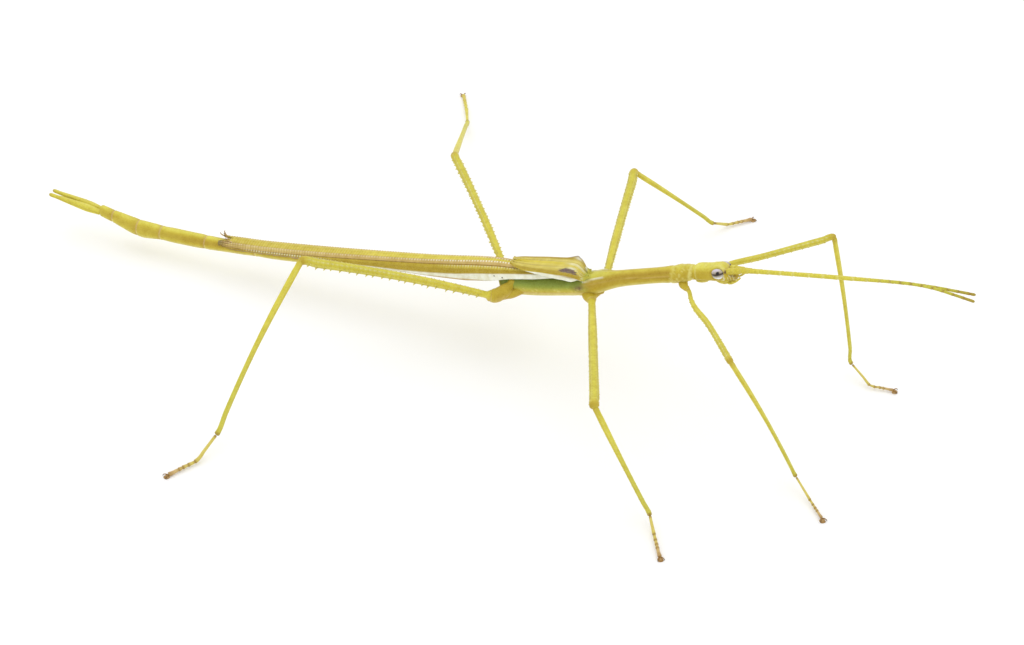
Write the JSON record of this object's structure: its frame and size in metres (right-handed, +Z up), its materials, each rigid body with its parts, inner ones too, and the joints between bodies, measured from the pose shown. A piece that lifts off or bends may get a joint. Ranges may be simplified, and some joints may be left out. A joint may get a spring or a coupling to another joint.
{
  "type": "winged stick insect",
  "caption": "Slender winged stick insect, life size, standing still on small feet with its wings folded along the back and its long feelers pointing forward.",
  "frame": {"origin": "middle of the bounding box, on the floor that the feet stand on", "axes": "+X the way the insect faces, +Y its own left, +Z up"},
  "size_m": [0.158, 0.114, 0.0348],
  "materials": {
    "skin": "satin olive yellow, greener on the thorax and legs, browner towards the feet",
    "hindwing": "satin, banded lengthwise",
    "tegmen": "satin, finely veined",
    "antenna": "satin, pale rings",
    "eye": "glossy silver pink with a dark band",
    "claw": "satin brown"
  },
  "bodies": {
    "root": {"abdomen_tip": "skin", "abdomen_rear": "skin", "abdomen_middle": "skin", "abdomen_base": "skin", "metathorax": "skin", "mesothorax": "skin", "prothorax": "skin", "head": "skin", "mouthparts": "skin", "eye_left": "eye", "eye_right": "eye", "antenna_left": "antenna", "antenna_right": "antenna", "hindwing_left": "hindwing", "hindwing_right": "hindwing", "tegmen_left": "tegmen", "tegmen_right": "tegmen", "cercus_left": "skin", "cercus_right": "skin", "coxa_fore_left": "skin", "femur_fore_left": "skin", "tibia_fore_left": "skin", "tarsus_fore_left": "skin", "foot_fore_left": "claw", "coxa_fore_right": "skin", "femur_fore_right": "skin", "tibia_fore_right": "skin", "tarsus_fore_right": "skin", "foot_fore_right": "claw", "coxa_middle_left": "skin", "femur_middle_left": "skin", "tibia_middle_left": "skin", "tarsus_middle_left": "skin", "foot_middle_left": "claw", "coxa_middle_right": "skin", "femur_middle_right": "skin", "tibia_middle_right": "skin", "tarsus_middle_right": "skin", "foot_middle_right": "claw", "coxa_hind_left": "skin", "femur_hind_left": "skin", "tibia_hind_left": "skin", "tarsus_hind_left": "skin", "foot_hind_left": "claw", "coxa_hind_right": "skin", "femur_hind_right": "skin", "tibia_hind_right": "skin", "tarsus_hind_right": "skin", "foot_hind_right": "claw"}
  },
  "joints": []
}
